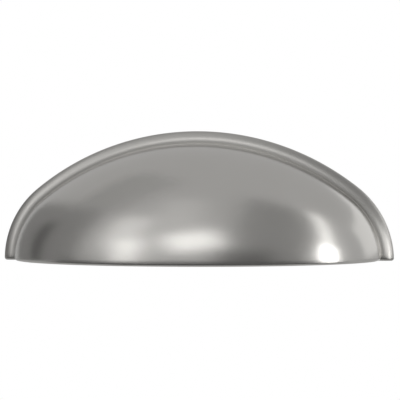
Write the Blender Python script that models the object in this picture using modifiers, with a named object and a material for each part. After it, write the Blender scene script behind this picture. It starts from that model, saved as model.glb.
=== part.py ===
# Cup pull for a drawer or a cupboard door, cast in one piece.
# Metres, +Z up. The drawer front is the plane y = 0, and the cup stands out from it towards -Y
# and opens downwards. The origin is on that plane, midway between the two mounting screws.

import math

import bmesh
import bpy

# Driving dimensions of the outline
HOLE_SPACING = 0.0762  # between the two mounting screws, 3 inches
HOLE_HEIGHT = 0.0070  # of the screws above the flange's lower end
END_MARGIN = 0.0094  # from a screw's centre to the end of the flange
HEIGHT = 0.03125  # from the flange's lower end to its top
SHOULDER_RADIUS = 0.0224  # arc at each end of the outline

# Flange, a flat back with one broad low bead along its front, up to the root of the dome
FLANGE_WIDTH = 0.00315  # from the outline to the root of the dome
BEAD_HEIGHT = 0.0028  # crest of the bead above the back
BEAD_CREST = 0.0022  # from the outline to the crest
BEAD_RADIUS = 0.0042
EDGE_RADIUS = 0.0005  # round between the bead and the flange's outer side
GROOVE_RADIUS = 0.00015  # of the corner along the root of the dome
FOOT_ROUND = 0.0007  # round along the lower ends of the bead

# Dome
PROJECTION = 0.025  # from the back to the front of the rim
NECK = 0.0032  # straight root of the dome, from the back
RIM_RISE = 0.0002  # the rim is this far above the flange's lower end
RIM_ROUND = 0.0007  # round along the rim's outer edge
WALL = 0.002

# Two bosses inside the ends, each with a blind hole for a no. 8-32 machine screw
BOSS_DIAMETER = 0.0078
BOSS_RECESS = 0.0004  # a boss's face lies this far in front of the back
HOLE_DIAMETER = 0.0035  # core of the thread, which isn't cut here
HOLE_DEPTH = 0.0072
MOUTH_CHAMFER = 0.0004
DRILL_TIP_ANGLE = math.radians(118)

# How finely round stretches are divided, and how far cutters reach past what they cut
SHOULDER_STEPS = 9
CROWN_STEPS = 14
DOME_STEPS = 9
BEAD_STEPS = 7
EDGE_STEPS = 3
HOLE_STEPS = 20
BOSS_STEPS = 28
FIRST_RISE = math.radians(4)  # up the shoulder arc, where the dome's sections begin
CUT_PAST = 0.002
ROOT_SINK = 0.00006  # the groove's end is sunk this far into the dome
WELD_DISTANCE = 0.000003  # merges the points that a cut leaves all but together
SMOOTH_ANGLE = math.radians(32)

# Values that follow
LENGTH = HOLE_SPACING + 2 * END_MARGIN
FOOT_Z = -HOLE_HEIGHT
RIM_Z = FOOT_Z + RIM_RISE
SHOULDER_X = LENGTH / 2 - SHOULDER_RADIUS
CROWN_RADIUS = (SHOULDER_X**2 + HEIGHT**2 - SHOULDER_RADIUS**2) / (2 * (HEIGHT - SHOULDER_RADIUS))
CROWN_Z = FOOT_Z + HEIGHT - CROWN_RADIUS
CROWN_HALF_ANGLE = math.asin(SHOULDER_X / (CROWN_RADIUS - SHOULDER_RADIUS))
SHOULDER_ANGLE = math.pi / 2 - CROWN_HALF_ANGLE
GROOVE_IN = FLANGE_WIDTH + ROOT_SINK - GROOVE_RADIUS  # the middle of the groove, from the outline
SIDES = {"left": -HOLE_SPACING / 2, "right": HOLE_SPACING / 2}


def clear_scene():
    for old in list(bpy.data.objects):
        bpy.data.objects.remove(old)


def make_collection(name):
    collection = bpy.data.collections.new(name)
    bpy.context.scene.collection.children.link(collection)
    return collection


def satin_nickel():
    material = bpy.data.materials.new("satin_nickel")
    material.use_nodes = True
    shader = material.node_tree.nodes["Principled BSDF"]
    shader.inputs["Base Color"].default_value = (0.56, 0.55, 0.53, 1.0)
    shader.inputs["Metallic"].default_value = 1.0
    shader.inputs["Roughness"].default_value = 0.32
    return material


def add_object(name, data, collection, cutter=False):
    """Give the bmesh an object; a cutter is drawn as wires and left out of renders."""
    mesh = bpy.data.meshes.new(name)
    data.to_mesh(mesh)
    data.free()
    added = bpy.data.objects.new(name, mesh)
    collection.objects.link(added)
    if cutter:
        added.display_type = "WIRE"
        added.hide_render = True
    return added


def add_boolean(target, cutter, operation):
    modifier = target.modifiers.new(f"{operation.lower()} {cutter.name}", "BOOLEAN")
    modifier.operation = operation
    modifier.object = cutter


def ellipse_points(center, half_width, half_height, start, end, steps):
    """Points of an ellipse about center, from the angle start to the angle end."""
    points = []
    for step in range(steps + 1):
        angle = start + (end - start) * step / steps
        points.append((center[0] + half_width * math.cos(angle), center[1] + half_height * math.sin(angle)))
    return points


# Flange

def flange_section():
    """The flange's section, as points (distance in from the outline, height above the back)."""
    upright = math.pi / 2
    apart = BEAD_RADIUS - EDGE_RADIUS
    edge_tilt = math.asin((BEAD_CREST - EDGE_RADIUS) / apart)
    bead_center = (BEAD_CREST, BEAD_HEIGHT - BEAD_RADIUS)
    edge_center = (EDGE_RADIUS, bead_center[1] + apart * math.cos(edge_tilt))
    apart = BEAD_RADIUS + GROOVE_RADIUS
    groove_tilt = math.asin((GROOVE_IN - BEAD_CREST) / apart)
    groove_center = (GROOVE_IN, bead_center[1] + apart * math.cos(groove_tilt))
    edge = ellipse_points(
        edge_center, EDGE_RADIUS, EDGE_RADIUS, math.pi, upright + edge_tilt, EDGE_STEPS
    )
    bead = ellipse_points(
        bead_center, BEAD_RADIUS, BEAD_RADIUS, upright + edge_tilt, upright - groove_tilt, BEAD_STEPS
    )
    groove = ellipse_points(
        groove_center, GROOVE_RADIUS, GROOVE_RADIUS, 3 * upright - groove_tilt, 4 * upright, EDGE_STEPS
    )
    inside_cavity = FLANGE_WIDTH + WALL + CUT_PAST / 2
    inner_side = [(inside_cavity, groove_center[1]), (inside_cavity, 0)]
    return [(0, 0)] + edge + bead[1:] + groove[1:] + inner_side


def spin_on(data, last, center_x, center_z, angle, steps):
    """Carry the loop over an arc of the outline, and return the new loop."""
    spun = bmesh.ops.spin(
        data, geom=last, cent=(center_x, 0, center_z), axis=(0, -1, 0), angle=angle, steps=steps
    )
    return spun["geom_last"]


def close_foot(data, side, weight):
    """Close the flange's lower end on this side, and mark the bead's edges for their round."""
    edges = [edge for edge in data.edges if edge.is_boundary and side * edge.verts[0].co.x > 0]
    bmesh.ops.edgeloop_fill(data, edges=edges)
    for edge in edges:
        middle = (edge.verts[0].co + edge.verts[1].co) / 2
        on_back = edge.verts[0].co.y == edge.verts[1].co.y == 0
        on_bead = side * middle.x > LENGTH / 2 - GROOVE_IN
        edge[weight] = 1.0 if on_bead and not on_back else 0.0


def make_flange(collection):
    """Sweep the section from the right foot over the three arcs to the left foot."""
    data = bmesh.new()
    section = [data.verts.new((LENGTH / 2 - inwards, -above, FOOT_Z)) for inwards, above in flange_section()]
    loop = [data.edges.new((vert, section[index - 1])) for index, vert in enumerate(section)]
    last = spin_on(data, section + loop, SHOULDER_X, FOOT_Z, SHOULDER_ANGLE, SHOULDER_STEPS)
    last = spin_on(data, last, 0, CROWN_Z, 2 * CROWN_HALF_ANGLE, 2 * CROWN_STEPS)
    spin_on(data, last, -SHOULDER_X, FOOT_Z, SHOULDER_ANGLE, SHOULDER_STEPS)
    weight = data.edges.layers.float.new("bevel_weight_edge")
    for side in (1, -1):
        close_foot(data, side, weight)
    bmesh.ops.recalc_face_normals(data, faces=data.faces)
    flange = add_object("cup_pull", data, collection)

    bevel = flange.modifiers.new("foot round", "BEVEL")
    bevel.limit_method = "WEIGHT"
    bevel.width = FOOT_ROUND
    bevel.segments = EDGE_STEPS
    return flange


# Dome

def shoulder_point(inset, angle):
    """Point (x, z) of the right shoulder arc of the outline moved in by inset."""
    radius = SHOULDER_RADIUS - inset
    return SHOULDER_X + radius * math.cos(angle), FOOT_Z + radius * math.sin(angle)


def crown_point(inset, angle):
    """Point (x, z) of the crown arc of the outline moved in by inset; the angle is from +Z."""
    radius = CROWN_RADIUS - inset
    return radius * math.sin(angle), CROWN_Z + radius * math.cos(angle)


def arch_points(inset):
    """Points (x, z) over the arch from right to left, starting a little way up each shoulder."""
    half = []
    for step in range(SHOULDER_STEPS):
        angle = FIRST_RISE + (SHOULDER_ANGLE - FIRST_RISE) * step / SHOULDER_STEPS
        half.append(shoulder_point(inset, angle))
    for step in range(CROWN_STEPS):
        half.append(crown_point(inset, CROWN_HALF_ANGLE * (1 - step / CROWN_STEPS)))
    mirrored = [(-x, z) for x, z in reversed(half)]
    return half + [crown_point(inset, 0)] + mirrored


def dome_depth(inset, x):
    """How far the dome stands out past its neck at x: the rim's plan is half an ellipse."""
    half_length = LENGTH / 2 - FLANGE_WIDTH - inset
    depth = PROJECTION - NECK - inset
    return depth * math.sqrt(1 - (x / half_length) ** 2)


def dome_section(depth, top, low):
    """Quarter ellipse (y, z) from the neck's top, at the height top, to the front, at the height low."""
    return ellipse_points((-NECK, low), -depth, top - low, math.pi / 2, 0, DOME_STEPS)


def loft(sections):
    """Join equal rings of points, one after the other, and close both ends."""
    data = bmesh.new()
    rings = [[data.verts.new(point) for point in section] for section in sections]
    for ring, following in zip(rings, rings[1:]):
        for index in range(len(ring)):
            data.faces.new((ring[index - 1], ring[index], following[index], following[index - 1]))
    data.faces.new(rings[0])
    data.faces.new(list(reversed(rings[-1])))
    bmesh.ops.recalc_face_normals(data, faces=data.faces)
    return data


def make_dome(collection):
    """The dome as a solid, with its back level with the faces of the bosses."""
    sections = []
    for x, top in arch_points(FLANGE_WIDTH):
        depth = dome_depth(0, x)
        edge_round = min(RIM_ROUND, (top - RIM_Z) / 3, depth / 3)
        edge_center = (edge_round - NECK - depth, RIM_Z + edge_round)
        outer = dome_section(depth, top, edge_center[1])
        edge = ellipse_points(edge_center, edge_round, edge_round, math.pi, 3 * math.pi / 2, EDGE_STEPS)
        section = [(-BOSS_RECESS, RIM_Z), (-BOSS_RECESS, top)] + outer + edge[1:]
        sections.append([(x, y, z) for y, z in section])
    return add_object("dome", loft(sections), collection, cutter=True)


def make_cavity(collection, bosses, holes):
    """The finger space, open behind and below, less the bosses and with their holes."""
    sections = []
    below = FOOT_Z - CUT_PAST
    for x, top in arch_points(FLANGE_WIDTH + WALL):
        depth = dome_depth(WALL, x)
        inner = dome_section(depth, top, RIM_Z)
        section = [(CUT_PAST, below), (CUT_PAST, top)] + inner + [(-NECK - depth, below)]
        sections.append([(x, y, z) for y, z in section])
    cavity = add_object("cavity", loft(sections), collection, cutter=True)
    for boss in bosses:
        add_boolean(cavity, boss, "DIFFERENCE")
    for hole in holes:
        add_boolean(cavity, hole, "UNION")
    return cavity


# Bosses and their holes

def stand_behind(added, side, y):
    """Turn an upright round cutter so that its top faces +Y, on this side's screw."""
    added.rotation_euler = (-math.pi / 2, 0, 0)
    added.location = (SIDES[side], y, 0)


def make_boss(side, collection):
    """A plug through the whole cavity, which leaves the boss's metal there."""
    radius = BOSS_DIAMETER / 2
    length = PROJECTION + 4 * CUT_PAST
    data = bmesh.new()
    bmesh.ops.create_cone(
        data, cap_ends=True, segments=BOSS_STEPS, radius1=radius, radius2=radius, depth=length
    )
    boss = add_object(f"boss_{side}", data, collection, cutter=True)
    stand_behind(boss, side, -PROJECTION / 2)
    return boss


def make_hole(side, collection):
    """A turned cutter: chamfered mouth, core of the thread and drill tip."""
    core = HOLE_DIAMETER / 2
    mouth = core + MOUTH_CHAMFER
    bottom = -BOSS_RECESS - HOLE_DEPTH
    tip = bottom - core / math.tan(DRILL_TIP_ANGLE / 2)
    profile = [
        (0, CUT_PAST),
        (mouth, CUT_PAST),
        (mouth, -BOSS_RECESS),
        (core, -BOSS_RECESS - MOUTH_CHAMFER),
        (core, bottom),
        (0, tip),
    ]
    data = bmesh.new()
    verts = [data.verts.new((radius, 0, level)) for radius, level in profile]
    for upper, lower in zip(verts, verts[1:]):
        data.edges.new((upper, lower))
    hole = add_object(f"hole_{side}", data, collection, cutter=True)
    screw = hole.modifiers.new("turned", "SCREW")
    screw.steps = HOLE_STEPS
    screw.render_steps = HOLE_STEPS
    screw.use_merge_vertices = True
    screw.merge_threshold = 0.00001
    stand_behind(hole, side, 0)
    return hole


def make_pull():
    parts = make_collection("cup_pull")
    cutters = make_collection("cutters")
    bosses = [make_boss(side, cutters) for side in SIDES]
    holes = [make_hole(side, cutters) for side in SIDES]
    pull = make_flange(parts)
    add_boolean(pull, make_dome(cutters), "UNION")
    add_boolean(pull, make_cavity(cutters, bosses, holes), "DIFFERENCE")
    weld = pull.modifiers.new("weld", "WELD")
    weld.merge_threshold = WELD_DISTANCE
    pull.data.materials.append(satin_nickel())
    pull.data.shade_smooth()
    pull.data.set_sharp_from_angle(angle=SMOOTH_ANGLE)


clear_scene()
make_pull()
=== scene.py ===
# Cup pull in satin nickel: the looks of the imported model, with its studio.
# Sizes are in metres and angles in degrees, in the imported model's own frame.

import math

import bmesh
import bpy
from mathutils import Matrix, Vector


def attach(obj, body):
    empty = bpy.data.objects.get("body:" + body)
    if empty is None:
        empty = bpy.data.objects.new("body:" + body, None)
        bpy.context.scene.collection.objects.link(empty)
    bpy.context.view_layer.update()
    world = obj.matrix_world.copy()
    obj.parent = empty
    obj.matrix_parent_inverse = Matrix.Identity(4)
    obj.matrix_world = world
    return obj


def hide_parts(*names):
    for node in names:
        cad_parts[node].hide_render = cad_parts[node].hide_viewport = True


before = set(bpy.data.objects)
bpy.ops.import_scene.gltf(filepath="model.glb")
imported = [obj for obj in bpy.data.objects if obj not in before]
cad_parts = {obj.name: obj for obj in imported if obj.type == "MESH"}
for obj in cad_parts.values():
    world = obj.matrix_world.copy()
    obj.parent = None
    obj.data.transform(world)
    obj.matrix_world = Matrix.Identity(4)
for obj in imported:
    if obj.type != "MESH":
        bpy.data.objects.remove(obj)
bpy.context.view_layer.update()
tiny = 1e-6  # nearer than this is the same place
seedSize = 0.001  # of the plane that a drawing's first vertex is made from
facesDown = -0.99  # the height of a face's normal, where the face points down
print("frame loaded")


# Small helpers for working in edit mode

def deselectAll():
    if bpy.context.mode != "OBJECT":
        bpy.ops.object.mode_set(mode="OBJECT")
    bpy.ops.object.select_all(action="DESELECT")


def makeActive(piece):
    deselectAll()
    piece.select_set(True)
    bpy.context.view_layer.objects.active = piece


def openMesh(piece):
    makeActive(piece)
    bpy.ops.object.mode_set(mode="EDIT")


def closeMesh():
    bpy.ops.object.mode_set(mode="OBJECT")


def pick(kind, wanted):  # selects the vertices, edges or faces that pass the test
    bpy.ops.mesh.select_mode(type=kind)
    bpy.ops.mesh.select_all(action="DESELECT")
    mesh = bmesh.from_edit_mesh(bpy.context.object.data)
    for item in {"VERT": mesh.verts, "EDGE": mesh.edges, "FACE": mesh.faces}[kind]:
        if wanted(item):
            item.select_set(True)
    mesh.select_flush_mode()
    bmesh.update_edit_mesh(bpy.context.object.data)


def middle(edge):
    return (edge.verts[0].co + edge.verts[1].co) / 2


def startPoint(name, place):  # a new piece with one vertex, open for drawing
    deselectAll()
    bpy.ops.mesh.primitive_plane_add(size=seedSize, location=place)
    piece = bpy.context.object
    piece.name = name
    bpy.ops.object.transform_apply(location=True, rotation=True, scale=True)
    bpy.ops.object.mode_set(mode="EDIT")
    bpy.ops.mesh.select_mode(type="VERT")
    bpy.ops.mesh.select_all(action="SELECT")
    bpy.ops.mesh.merge(type="CENTER")
    bpy.ops.mesh.select_all(action="SELECT")
    return piece


def drawLine(x, y, z):
    bpy.ops.mesh.extrude_vertices_move(TRANSFORM_OT_translate={"value": (x, y, z)})


def turn(center, axis, angle, steps):  # carries what is selected round an arc
    # spin itself turns the other way
    bpy.ops.mesh.spin(steps=steps, angle=-angle, center=center, axis=axis, use_auto_merge=False)


def closeLoop():  # joins the two loose ends of the drawn line
    pick("VERT", lambda vert: len(vert.link_edges) == 1)
    bpy.ops.mesh.edge_face_add()
    bpy.ops.mesh.select_mode(type="EDGE")
    bpy.ops.mesh.select_all(action="SELECT")


def cleanUp():
    bpy.ops.mesh.select_all(action="SELECT")
    bpy.ops.mesh.remove_doubles(threshold=tiny)
    bpy.ops.mesh.normals_make_consistent(inside=False)


def applyModifier(piece, kind, **settings):
    makeActive(piece)
    modifier = piece.modifiers.new(kind.lower(), kind)
    for name, value in settings.items():
        setattr(modifier, name, value)
    bpy.ops.object.modifier_apply(modifier=modifier.name)


def combine(piece, other, operation):  # joins or cuts with another piece, which is used up
    applyModifier(piece, "BOOLEAN", operation=operation, object=other, solver="EXACT")
    bpy.data.objects.remove(other)


def copyAside(piece, move):
    makeActive(piece)
    bpy.ops.object.duplicate(linked=False)
    other = bpy.context.object
    openMesh(other)
    bpy.ops.mesh.select_all(action="SELECT")
    bpy.ops.transform.translate(value=move)
    closeMesh()
    return other


# The pull's sizes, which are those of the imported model

pull = {
    "holeSpacing": 0.0762,
    "holeHeight": 0.0070,  # screws above the flange's lower end
    "endMargin": 0.0094,  # from a screw to the end of the flange
    "height": 0.03125,
    "shoulderRadius": 0.0224,
    "flangeWidth": 0.00315,
    "beadHeight": 0.0028,
    "beadCrest": 0.0022,  # in from the outline
    "beadRadius": 0.0042,
    "edgeRadius": 0.0005,  # between the bead and the flange's outer side
    "grooveRadius": 0.00015,  # between the bead and the dome
    "rootSink": 0.00006,  # the groove runs this far into the dome
    "backRound": 0.0002,
    "footRound": 0.0007,
    "projection": 0.025,
    "neck": 0.0032,  # from the back to where the dome starts to curve in
    "rimRise": 0.0002,  # rim above the flange's lower end
    "rimRound": 0.0007,
    "innerRimRound": 0.0003,
    "wall": 0.002,
    "domeBack": 0.0002,  # the dome starts this far in front of the back
    "cutPast": 0.002,  # what cuts stands out this far
    "shoulderSteps": 36,
    "crownSteps": 48,
    "endSkip": 3,  # steps left out where the dome runs out into the flange
    "domeSteps": 48,
    "edgeSteps": 8,
    "beadSteps": 22,
    "grooveSteps": 5,
    "roundSteps": 6,
    "backSteps": 3,
    "smoothAngle": 34,
}

length = pull["holeSpacing"] + 2 * pull["endMargin"]
footZ = -pull["holeHeight"]
rimZ = footZ + pull["rimRise"]
neckY = -pull["neck"]
shoulderX = length / 2 - pull["shoulderRadius"]
crownRadius = shoulderX**2 + pull["height"]**2 - pull["shoulderRadius"]**2
crownRadius /= 2 * (pull["height"] - pull["shoulderRadius"])
crownZ = footZ + pull["height"] - crownRadius
crownHalfAngle = math.asin(shoulderX / (crownRadius - pull["shoulderRadius"]))
shoulderAngle = math.pi / 2 - crownHalfAngle
beadUp = pull["beadHeight"] - pull["beadRadius"]  # middles of the section's arcs, up from the back
edgeTilt = math.asin((pull["beadCrest"] - pull["edgeRadius"]) / (pull["beadRadius"] - pull["edgeRadius"]))
edgeUp = beadUp + (pull["beadRadius"] - pull["edgeRadius"]) * math.cos(edgeTilt)
grooveIn = pull["flangeWidth"] + pull["rootSink"] - pull["grooveRadius"]
grooveTilt = math.asin((grooveIn - pull["beadCrest"]) / (pull["beadRadius"] + pull["grooveRadius"]))
grooveUp = beadUp + (pull["beadRadius"] + pull["grooveRadius"]) * math.cos(grooveTilt)


def makeFlange():  # the beaded section is drawn at the right foot, then carried over the arch
    right = length / 2
    backRound = pull["backRound"]
    outward, inward = (0, 0, -1), (0, 0, 1)
    flange = startPoint("cupPull", (right - backRound, 0, footZ))
    turn((right - backRound, -backRound, footZ), outward, math.pi / 2, pull["backSteps"])
    drawLine(0, backRound - edgeUp, 0)
    turn((right - pull["edgeRadius"], -edgeUp, footZ), outward, math.pi / 2 - edgeTilt, pull["edgeSteps"])
    turn((right - pull["beadCrest"], -beadUp, footZ), outward, edgeTilt + grooveTilt, pull["beadSteps"])
    turn((right - grooveIn, -grooveUp, footZ), inward, math.pi / 2 + grooveTilt, pull["grooveSteps"])
    # its inner end stands in the finger space and is cut away with it
    drawLine(-pull["wall"] - pull["cutPast"] / 2 + pull["rootSink"], 0, 0)
    drawLine(0, grooveUp, 0)
    closeLoop()

    upAndOver = (0, -1, 0)
    stepAngle = shoulderAngle / pull["shoulderSteps"]
    endAngle, restAngle = pull["endSkip"] * stepAngle, shoulderAngle - pull["endSkip"] * stepAngle
    restSteps = pull["shoulderSteps"] - pull["endSkip"]
    turn((shoulderX, 0, footZ), upAndOver, endAngle, 1)
    turn((shoulderX, 0, footZ), upAndOver, restAngle, restSteps)
    turn((0, 0, crownZ), upAndOver, 2 * crownHalfAngle, 2 * pull["crownSteps"])
    turn((-shoulderX, 0, footZ), upAndOver, restAngle, restSteps)
    turn((-shoulderX, 0, footZ), upAndOver, endAngle, 1)

    for side in (1, -1):  # close each foot
        pick("EDGE", lambda edge: edge.is_boundary and side * edge.verts[0].co.x > 0)
        bpy.ops.mesh.edge_face_add()
    cleanUp()

    rootX = right - pull["flangeWidth"] - pull["rootSink"]

    def footEdge(edge):
        level = all(abs(vert.co.z - footZ) < tiny for vert in edge.verts)
        onBack = all(abs(vert.co.y) < tiny for vert in edge.verts)
        return level and not onBack and abs(middle(edge).x) > rootX

    pick("EDGE", footEdge)
    bpy.ops.mesh.bevel(
        offset=pull["footRound"], segments=pull["roundSteps"], affect="EDGES", clamp_overlap=False
    )
    # what the rounding moved below the feet comes back level with them
    pick("VERT", lambda vert: vert.co.z < footZ)
    bpy.ops.transform.resize(value=(1, 1, 0), center_override=(0, 0, footZ))
    closeMesh()
    return flange


def archStations(inset):  # (x, height) from the middle of the crown to the right end
    stations = []
    radius = crownRadius - inset
    for step in range(pull["crownSteps"]):
        angle = crownHalfAngle * step / pull["crownSteps"]
        stations.append((radius * math.sin(angle), crownZ + radius * math.cos(angle)))
    radius = pull["shoulderRadius"] - inset
    for step in range(pull["shoulderSteps"] - pull["endSkip"] + 1):
        angle = shoulderAngle * (1 - step / pull["shoulderSteps"])
        stations.append((shoulderX + radius * math.cos(angle), footZ + radius * math.sin(angle)))
    return stations


def makeHalfDome(name, wall, back, low):  # a block with the dome's outside or inside shape
    halfLength = length / 2 - pull["flangeWidth"] - wall
    fullDepth = pull["projection"] - pull["neck"] - wall
    stations = archStations(pull["flangeWidth"] + wall)
    top = stations[0][1]
    block = startPoint(name, (0, back, low))
    drawLine(0, 0, top - low)
    drawLine(0, neckY - back, 0)
    turn((0, neckY, low), (1, 0, 0), math.pi / 2, pull["domeSteps"])
    closeLoop()
    # the quarter circle becomes a quarter ellipse
    pick("VERT", lambda vert: vert.co.y < neckY - tiny)
    axis = (0, neckY, low)
    bpy.ops.transform.resize(value=(1, fullDepth / (top - low), 1), center_override=axis)
    bpy.ops.mesh.select_mode(type="EDGE")
    bpy.ops.mesh.select_all(action="SELECT")

    lastX, lastHeight, lastDepth = 0, top - low, fullDepth
    for x, level in stations[1:]:  # one section after the other, out to the right end
        depth = fullDepth * math.sqrt(1 - (x / halfLength)**2)
        height = level - low
        bpy.ops.mesh.extrude_edges_move(TRANSFORM_OT_translate={"value": (x - lastX, 0, 0)})
        bpy.ops.transform.resize(value=(1, depth / lastDepth, height / lastHeight), center_override=axis)
        lastX, lastHeight, lastDepth = x, height, depth
    bpy.ops.mesh.edge_face_add()
    # the back, which was resized with each section, is made flat again
    pick("VERT", lambda vert: vert.co.y > neckY + tiny)
    bpy.ops.transform.resize(value=(1, 0, 1), center_override=(0, back, 0))
    closeMesh()
    applyModifier(block, "MIRROR", use_axis=(True, False, False), merge_threshold=tiny)
    openMesh(block)
    cleanUp()
    closeMesh()
    return block


def roundUnder(block, low, radius, growX, growY):  # carries the underside down round a quarter circle
    # its length and depth grow by the radius at 1, shrink by it at -1 and stay at 0
    openMesh(block)
    pick("FACE", lambda face: face.normal.z < facesDown and abs(face.calc_center_median().z - low) < tiny)
    sides = ((length / 2 - pull["flangeWidth"], growX), (pull["projection"] - pull["neck"], growY))
    lastMove, lastDrop = 0, 0
    for step in range(1, pull["roundSteps"] + 1):
        angle = math.pi / 2 * step / pull["roundSteps"]
        move = radius * (1 - math.cos(angle))
        drop = radius * math.sin(angle)
        bpy.ops.mesh.extrude_region_move(TRANSFORM_OT_translate={"value": (0, 0, lastDrop - drop)})
        scale = [(reach + grow * move) / (reach + grow * lastMove) for reach, grow in sides]
        bpy.ops.transform.resize(value=(*scale, 1), center_override=(0, neckY, 0))
        lastMove, lastDrop = move, drop


def makeDome():
    low = rimZ + pull["rimRound"]
    dome = makeHalfDome("dome", 0, -pull["domeBack"], low)
    roundUnder(dome, low, pull["rimRound"], -1, -1)
    cleanUp()
    closeMesh()
    return dome


def makeCavity():  # the finger space, open behind and below
    low = rimZ + pull["innerRimRound"]
    cavity = makeHalfDome("cavity", pull["wall"], pull["cutPast"], low)
    roundUnder(cavity, low, pull["innerRimRound"], 0, 1)
    below = footZ - pull["cutPast"] - rimZ
    bpy.ops.mesh.extrude_region_move(TRANSFORM_OT_translate={"value": (0, 0, below)})
    cleanUp()
    closeMesh()
    return cavity


boss = {
    "diameter": 0.0078,
    "recess": 0.0004,  # its face lies this far in front of the back
    "edgeRound": 0.0003,
    "edgeSteps": 4,
    "sides": 72,
    "coreDiameter": 0.0035,
    "depth": 0.0072,
    "mouthChamfer": 0.0004,
    "tipAngle": 118,
    "threadDiameter": 0.00417,
    "pitch": 0.000794,
    # outwards as a share of the groove's depth, along the hole as a share of the pitch
    "threadProfile": ((0, 0.25), (1, 0.31), (0, 0.13), (-1, 0.31)),
    "turns": 8,
    "turnSteps": 36,
}


def makeBoss():  # a plug for the right screw, set in the finger space
    deep = pull["projection"] + pull["cutPast"]
    deselectAll()
    bpy.ops.mesh.primitive_cylinder_add(
        vertices=boss["sides"], radius=boss["diameter"] / 2, depth=deep,
        location=(pull["holeSpacing"] / 2, -boss["recess"] - deep / 2, 0), rotation=(math.pi / 2, 0, 0),
    )
    plug = bpy.context.object
    plug.name = "boss"
    bpy.ops.object.transform_apply(location=True, rotation=True, scale=True)
    openMesh(plug)
    pick("EDGE", lambda edge: all(abs(vert.co.y + boss["recess"]) < tiny for vert in edge.verts))
    bpy.ops.mesh.bevel(offset=boss["edgeRound"], segments=boss["edgeSteps"], affect="EDGES")
    closeMesh()
    return plug


def makeThread():  # one pitch of the groove is drawn, then wound along the hole
    core = boss["coreDiameter"] / 2
    rise = boss["threadDiameter"] / 2 - core
    pitch = boss["pitch"]
    thread = startPoint("thread", (core, 0, 0))
    for out, along in boss["threadProfile"]:
        drawLine(out * rise, -along * pitch, 0)
    closeMesh()
    applyModifier(
        thread, "SCREW", axis="Y", screw_offset=-pitch, iterations=boss["turns"],
        steps=boss["turnSteps"], render_steps=boss["turnSteps"], use_merge_vertices=False,
    )
    openMesh(thread)
    bpy.ops.mesh.select_all(action="SELECT")
    bpy.ops.mesh.remove_doubles(threshold=tiny)
    bpy.ops.mesh.fill_holes(sides=0)
    cleanUp()
    bpy.ops.transform.translate(value=(pull["holeSpacing"] / 2, 0, 0))
    closeMesh()
    return thread


def makeHole():  # the drilled hole's shape is drawn beside the screw's axis and turned round it
    core = boss["coreDiameter"] / 2
    chamfer = boss["mouthChamfer"]
    tip = core / math.tan(math.radians(boss["tipAngle"]) / 2)
    axisX = pull["holeSpacing"] / 2
    hole = startPoint("hole", (axisX, pull["cutPast"], 0))
    drawLine(core + chamfer, 0, 0)
    drawLine(0, -pull["cutPast"] - boss["recess"], 0)
    drawLine(-chamfer, -chamfer, 0)
    drawLine(0, chamfer - boss["depth"], 0)
    drawLine(-core, -tip, 0)
    bpy.ops.mesh.select_mode(type="EDGE")
    bpy.ops.mesh.select_all(action="SELECT")
    turn((axisX, 0, 0), (0, 1, 0), 2 * math.pi, boss["turnSteps"])
    cleanUp()
    closeMesh()
    combine(hole, makeThread(), "UNION")
    return hole


def smoothPull(piece):
    openMesh(piece)
    cleanUp()
    closeMesh()
    makeActive(piece)
    bpy.ops.object.shade_smooth_by_angle(angle=math.radians(pull["smoothAngle"]))


across = (-pull["holeSpacing"], 0, 0)
cavity = makeCavity()
plug = makeBoss()
combine(cavity, copyAside(plug, across), "DIFFERENCE")
combine(cavity, plug, "DIFFERENCE")
print("finger space made, with its bosses")

cupPull = makeFlange()
combine(cupPull, makeDome(), "UNION")
combine(cupPull, cavity, "DIFFERENCE")
hole = makeHole()
combine(cupPull, copyAside(hole, across), "DIFFERENCE")
combine(cupPull, hole, "DIFFERENCE")
print("screw holes cut, with their threads")
smoothPull(cupPull)
print("pull made:", len(cupPull.data.polygons), "faces")


# Shader maths: a wire is a node's output, and sums on it add Math nodes

class Wire:
    def __init__(self, tree, socket):
        self.tree = tree
        self.socket = socket

    def node(self, kind, settings=None, sockets=None, output=0):
        return addNode(self.tree, kind, settings, sockets, output)

    def maths(self, operation, first, second):
        return self.node("ShaderNodeMath", {"operation": operation}, {0: first, 1: second})

    def __add__(self, other):
        return self.maths("ADD", self, other)

    def __radd__(self, other):
        return self.maths("ADD", other, self)

    def __sub__(self, other):
        return self.maths("SUBTRACT", self, other)

    def __rsub__(self, other):
        return self.maths("SUBTRACT", other, self)

    def __mul__(self, other):
        return self.maths("MULTIPLY", self, other)

    def __rmul__(self, other):
        return self.maths("MULTIPLY", other, self)


def addNode(tree, kind, settings=None, sockets=None, output=0):
    node = tree.nodes.new(kind)
    for name, value in (settings or {}).items():
        setattr(node, name, value)
    for name, value in (sockets or {}).items():
        if isinstance(value, Wire):
            tree.links.new(value.socket, node.inputs[name])
        else:
            node.inputs[name].default_value = value
    return Wire(tree, node.outputs[output]) if node.outputs else None


def addNoise(tree, place, scale, detail, roughness):
    sockets = {"Vector": place, "Scale": scale, "Detail": detail, "Roughness": roughness}
    return addNode(tree, "ShaderNodeTexNoise", None, sockets)


def mixColors(tree, blendType, factor, first, second):  # 6, 7 and output 2 are the colour sockets
    settings = {"data_type": "RGBA", "blend_type": blendType}
    return addNode(tree, "ShaderNodeMix", settings, {0: factor, 6: first, 7: second}, output=2)


def newMaterial(name):
    material = bpy.data.materials.new(name)
    material.use_nodes = True
    material.node_tree.nodes.clear()
    return material, material.node_tree


# Satin nickel

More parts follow.
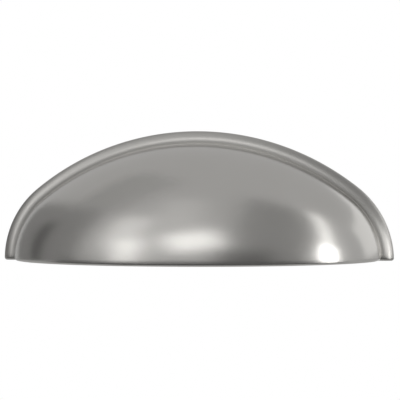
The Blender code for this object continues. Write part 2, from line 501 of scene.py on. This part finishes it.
nickel = {
    "color": (0.56, 0.55, 0.53),
    "shadeColor": (0.52, 0.508, 0.485),
    "roughness": 0.24,
    "brushShade": 0.3,  # share of the brush marks in the change to shadeColor
    "brushRoughness": 0.04,
    "brushLength": 70,  # strokes a metre along the pull
    "brushFineness": 5200,  # and across it
    "brushDepth": 0.000004,
    "smudgeShade": 0.7,  # and of the smudges
    "smudgeRoughness": 0.03,
    "smudgeScale": 85,
    "beadRoughness": 0.07,  # added on the flange, which is rougher and carries a painted shade
    # painted shade: the flange's colour is multiplied by this, so it renders darker than the dome
    "beadPaintedShade": 0.84,
    "beadBlend": 0.0003,  # the dome's finish and colour turn into the flange's roughness and painted shade over this depth
    "castRoughness": 0.2,  # and inside the cup
    "castGrain": 1400,
    "castDepth": 0.00004,
}

insideName = "insideCup"  # the mark that markInside puts on the faces


def makeNickel():
    material, tree = newMaterial("satinNickel")
    place = addNode(tree, "ShaderNodeTexCoord", output="Object")
    inside = addNode(tree, "ShaderNodeAttribute", {"attribute_name": insideName}, output="Fac")

    depth = addNode(tree, "ShaderNodeSeparateXYZ", None, {"Vector": place}, output="Y")
    blend = {"From Min": neckY, "From Max": neckY + nickel["beadBlend"], "To Min": 0, "To Max": 1}
    onBead = addNode(tree, "ShaderNodeMapRange", None, {"Value": depth, **blend})

    stretch = (nickel["brushLength"], nickel["brushFineness"], nickel["brushFineness"])
    brushSockets = {"Vector": place, "Scale": stretch}
    brushPlace = addNode(tree, "ShaderNodeMapping", {"vector_type": "POINT"}, brushSockets)
    brush = addNoise(tree, brushPlace, scale=1, detail=3, roughness=0.6)
    smudge = addNoise(tree, place, scale=nickel["smudgeScale"], detail=4, roughness=0.55)
    grain = addNoise(tree, place, scale=nickel["castGrain"], detail=3, roughness=0.6)
    cloud = smudge * nickel["smudgeShade"] + brush * nickel["brushShade"]
    shade = mixColors(tree, "MIX", cloud, nickel["color"] + (1,), nickel["shadeColor"] + (1,))
    # painted shade: the flange's colour is multiplied darker than the dome's
    paintedShade = (nickel["beadPaintedShade"],) * 3 + (1,)
    shade = mixColors(tree, "MULTIPLY", onBead, shade, paintedShade)
    roughness = (
        nickel["roughness"]
        + onBead * nickel["beadRoughness"]
        + (brush - 0.5) * nickel["brushRoughness"]
        + (smudge - 0.5) * nickel["smudgeRoughness"]
        + inside * nickel["castRoughness"]
    )
    relief = brush * nickel["brushDepth"] * (1 - inside) + grain * inside * nickel["castDepth"]
    bump = addNode(tree, "ShaderNodeBump", None, {"Strength": 1, "Distance": 1, "Height": relief})
    shader = addNode(
        tree, "ShaderNodeBsdfPrincipled", None,
        {"Base Color": shade, "Metallic": 1, "Roughness": roughness, "Normal": bump},
    )
    addNode(tree, "ShaderNodeOutputMaterial", None, {"Surface": shader})
    return material


def archHeight(x, inset):  # of the arch at x, this far in from the outline
    if abs(x) < (crownRadius - inset) * math.sin(crownHalfAngle):
        return crownZ + math.sqrt((crownRadius - inset)**2 - x**2)
    reach = abs(x) - shoulderX
    return footZ + math.sqrt(max(0, (pull["shoulderRadius"] - inset)**2 - reach**2))


def markInside(piece):  # 1 on the faces inside the middle of the wall, 0 on the others
    inset = pull["flangeWidth"] + pull["wall"] / 2
    halfLength = length / 2 - inset
    fullDepth = pull["projection"] - pull["neck"] - pull["wall"] / 2
    mark = piece.data.attributes.new(insideName, "FLOAT", "FACE")
    for face in piece.data.polygons:
        x, y, z = face.center
        if abs(x) >= halfLength or z < rimZ + tiny or y > -tiny:
            continue
        depth = fullDepth * math.sqrt(1 - (x / halfLength)**2)
        out = max(0, neckY - y) / max(depth, tiny)
        up = max(0, z - rimZ) / max(archHeight(x, inset) - rimZ, tiny)
        if out**2 + up**2 < 1:
            mark.data[face.index].value = 1


markInside(cupPull)
cupPull.data.materials.clear()
cupPull.data.materials.append(makeNickel())
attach(cupPull, "root")
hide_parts("cup_pull")
print("satin nickel laid on")


# Camera, at the photograph's angle

view = {
    "target": (0, -0.010, 0.009),
    "azimuth": 6.92,
    "elevation": 1.374,
    "roll": -0.358,
    "distance": 0.300,
    "lens": 114.51,
    "shiftX": 0.0216,
    "shiftY": -0.0123,
    "clipStart": 0.01,
}


def direction(azimuth, elevation):  # from the pull; azimuth 0 is straight out of the drawer front
    around, up = math.radians(azimuth), math.radians(elevation)
    return Vector((math.sin(around) * math.cos(up), -math.cos(around) * math.cos(up), math.sin(up)))


def placeCamera():
    back = direction(view["azimuth"], view["elevation"])
    right = (-back).cross(Vector((0, 0, 1))).normalized()
    up = right.cross(-back)
    roll = math.radians(view["roll"])
    across = right * math.cos(roll) + up * math.sin(roll)
    upright = up * math.cos(roll) - right * math.sin(roll)
    turned = Matrix((across, upright, back)).transposed().to_4x4()
    bpy.ops.object.camera_add()
    camera = bpy.context.object
    camera.matrix_world = Matrix.Translation(Vector(view["target"]) + back * view["distance"]) @ turned
    camera.data.lens = view["lens"]
    camera.data.shift_x = view["shiftX"]
    camera.data.shift_y = view["shiftY"]
    camera.data.clip_start = view["clipStart"]
    bpy.context.scene.camera = camera


deselectAll()
placeCamera()
print("camera placed")


# Studio: pale floor, white backdrop, soft lamps, and dark cards that shape the reflections

studio = {
    "floorZ": -0.20,
    "floorSize": 3.0,
    "floorColor": (0.8, 0.8, 0.8),
    "backdropY": 0.5,
    "backdropWidth": 0.46,
    "backdropTop": 0.16,
    "backdropColor": (0.9, 0.9, 0.9),
    "backdropGlow": 1,
    "world": 0.592,
}

# azimuth, elevation, distance, width, height, lean and strength, where 1 is as bright as white paper
lamps = {
    "rightWall": (123, 16, 0.84, 0.95, 0.52, 5, 0.46),
    "leftTall": (-31, 20, 0.82, 0.20, 0.38, -5, 0.62),
    "leftSoft": (-28.5, 1.5, 0.80, 0.13, 0.33, -8, 1.38),
    "frontHigh": (-10, 38, 0.84, 0.22, 0.36, 0, 0.18),
    "frontSoft": (-4, 13, 0.80, 0.27, 0.20, 18, 1.52),
    "rightTall": (57, 16, 0.80, 0.09, 0.80, -14, 1.95),
    "rightStrip": (54, 6, 0.78, 0.06, 0.50, -8, 0.3),
}
endLamps = {  # small and close, measured from the flange's right end
    "endFront": (11.5, -5, 0.030, 0.012, 0.012, -6, 1.65),
    "endSide": (34, -12, 0.056, 0.011, 0.034, 0, 4.0),
}

# azimuth, elevation, distance, width, height, lean and grey
cards = {
    "frontCard": (30, 19, 0.86, 0.56, 1.1, -25, 0.55),
    "lowCard": (14, -5.5, 0.76, 0.28, 0.29, 0, 0.2),
    "underCard": (0, -38, 0.22, 0.90, 0.24, 0, 0.2),
    "leftCard": (-88, 15, 0.86, 1.30, 0.8, 8, 0.5),
    "leftHigh": (-60, 56, 0.86, 0.46, 0.5, 0, 0.78),
    "leftDark": (-84, 10, 0.83, 0.18, 0.5, 0, 0.18),
}


def paint(name, color, glow=0):  # a matt colour, or white light to the camera and in reflections
    material, tree = newMaterial(name)
    matt = addNode(tree, "ShaderNodeBsdfDiffuse", None, {"Color": color + (1,)})
    if glow:
        rays = ("Is Camera Ray", "Is Glossy Ray", "Is Transmission Ray")
        camera, glossy, clear = [addNode(tree, "ShaderNodeLightPath", output=ray) for ray in rays]
        seen = camera.maths("MAXIMUM", camera.maths("MAXIMUM", camera, glossy), clear)
        white = addNode(tree, "ShaderNodeEmission", None, {"Color": (1, 1, 1, 1), "Strength": glow})
        matt = addNode(tree, "ShaderNodeMixShader", None, {0: seen, 1: matt, 2: white})
    addNode(tree, "ShaderNodeOutputMaterial", None, {"Surface": matt})
    return material


def aimed(facing, lean):  # the rotation that points Z that way and leans the piece round it
    aim = Vector(facing).to_track_quat("Z", "Y").to_matrix() @ Matrix.Rotation(math.radians(lean), 3, "Z")
    return aim.to_euler()


def addBoard(name, place, width, height, facing, lean, material):
    deselectAll()
    bpy.ops.mesh.primitive_plane_add(size=1, location=place)
    board = bpy.context.object
    board.name = name
    board.scale = (width, height, 1)
    board.rotation_euler = aimed(facing, lean)
    bpy.ops.object.transform_apply(location=True, rotation=True, scale=True)
    board.data.materials.append(material)
    return board


def addLamp(name, center, azimuth, elevation, distance, width, height, lean, strength):
    out = direction(azimuth, elevation)
    bpy.ops.object.light_add(type="AREA", location=Vector(center) + out * distance)
    lamp = bpy.context.object
    lamp.name = name
    lamp.rotation_euler = aimed(out, lean)
    lamp.data.shape = "RECTANGLE"
    lamp.data.size = width
    lamp.data.size_y = height
    lamp.data.energy = strength * math.pi * width * height
    lamp.visible_camera = False


floorPaint = paint("floorPaint", studio["floorColor"])
floorPlace = (0, 0, studio["floorZ"])
addBoard("floor", floorPlace, studio["floorSize"], studio["floorSize"], (0, 0, 1), 0, floorPaint)
backdropPaint = paint("backdropPaint", studio["backdropColor"], studio["backdropGlow"])
backdropHeight = studio["backdropTop"] - studio["floorZ"]
backdropPlace = (0, studio["backdropY"], studio["floorZ"] + backdropHeight / 2)
addBoard("backdrop", backdropPlace, studio["backdropWidth"], backdropHeight, (0, -1, 0), 0, backdropPaint)
for name, (azimuth, elevation, distance, width, height, lean, grey) in cards.items():
    out = direction(azimuth, elevation)
    place = Vector(view["target"]) + out * distance
    card = addBoard(name, place, width, height, -out, -lean, paint(name + "Paint", (grey, grey, grey)))
    card.visible_camera = False
    card.visible_diffuse = False
    card.visible_shadow = False
for name, values in lamps.items():
    addLamp(name, view["target"], *values)
for name, values in endLamps.items():
    addLamp(name, (length / 2, neckY, 0), *values)

world = bpy.data.worlds.new("studioWorld")
world.use_nodes = True
background = world.node_tree.nodes["Background"]
background.inputs["Color"].default_value = (1, 1, 1, 1)
background.inputs["Strength"].default_value = studio["world"]
bpy.context.scene.world = world
bpy.context.scene.view_settings.view_transform = "Standard"
print("studio set")
